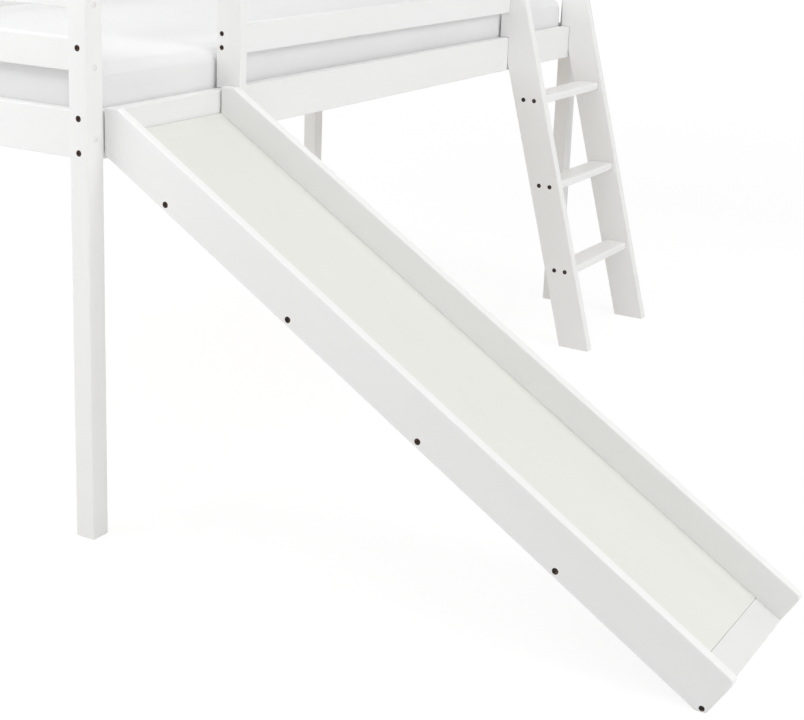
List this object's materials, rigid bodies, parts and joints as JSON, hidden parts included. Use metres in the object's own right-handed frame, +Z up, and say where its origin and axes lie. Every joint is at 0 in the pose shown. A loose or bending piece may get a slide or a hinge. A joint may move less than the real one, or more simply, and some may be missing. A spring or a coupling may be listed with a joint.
{
  "type": "bunk bed with slide",
  "caption": "Raised children's single bed in white painted pine on square posts, with guard boards, a straight slide at one end of the long side and a slanted ladder at the other",
  "frame": {"origin": "On the floor, at the middle of the overall box, slide included.", "axes": "+Z up; X along the bed's length, with the slide at the -X end of the long side and the ladder at the +X end; -Y towards the foot of the slide, +Y towards the back guard boards."},
  "size_m": [2.06, 2.0796, 1.035],
  "materials": {
    "white_paint": "satin white paint",
    "panel_paint": "smooth off-white lacquer",
    "bare_pine": "bare planed pine",
    "cotton": "white woven cotton"
  },
  "bodies": {
    "frame": {"front_left_post": "white_paint", "front_right_post": "white_paint", "back_left_post": "white_paint", "back_right_post": "white_paint", "front_rail": "white_paint", "back_rail": "white_paint", "left_end_rail": "white_paint", "right_end_rail": "white_paint", "front_lower_guard": "white_paint", "front_upper_guard": "white_paint", "back_lower_guard": "white_paint", "back_upper_guard": "white_paint", "left_end_lower_guard": "white_paint", "left_end_upper_guard": "white_paint", "right_end_lower_guard": "white_paint", "right_end_upper_guard": "white_paint", "guard_post": "white_paint", "front_ledger": "bare_pine", "back_ledger": "bare_pine", "slat_01": "bare_pine", "slat_02": "bare_pine", "slat_03": "bare_pine", "slat_04": "bare_pine", "slat_05": "bare_pine", "slat_06": "bare_pine", "slat_07": "bare_pine", "slat_08": "bare_pine", "slat_09": "bare_pine", "slat_10": "bare_pine", "slat_11": "bare_pine", "slat_12": "bare_pine", "slat_13": "bare_pine", "slat_14": "bare_pine", "slide_left_board": "white_paint", "slide_right_board": "white_paint", "slide_panel": "panel_paint", "slide_head_bar": "white_paint", "slide_cross_bar_1": "white_paint", "slide_cross_bar_2": "white_paint", "slide_cross_bar_3": "white_paint", "slide_cross_bar_4": "white_paint", "slide_foot_board": "white_paint", "near_stringer": "white_paint", "far_stringer": "white_paint", "tread_1": "white_paint", "tread_2": "white_paint", "tread_3": "white_paint"},
    "mattress_body": {"mattress": "cotton"}
  },
  "joints": [
    {"name": "mattress_lift", "type": "slide", "parent": "frame", "child": "mattress_body", "axis": [0, 0, 1], "range_m": [0, 0.35]}
  ]
}
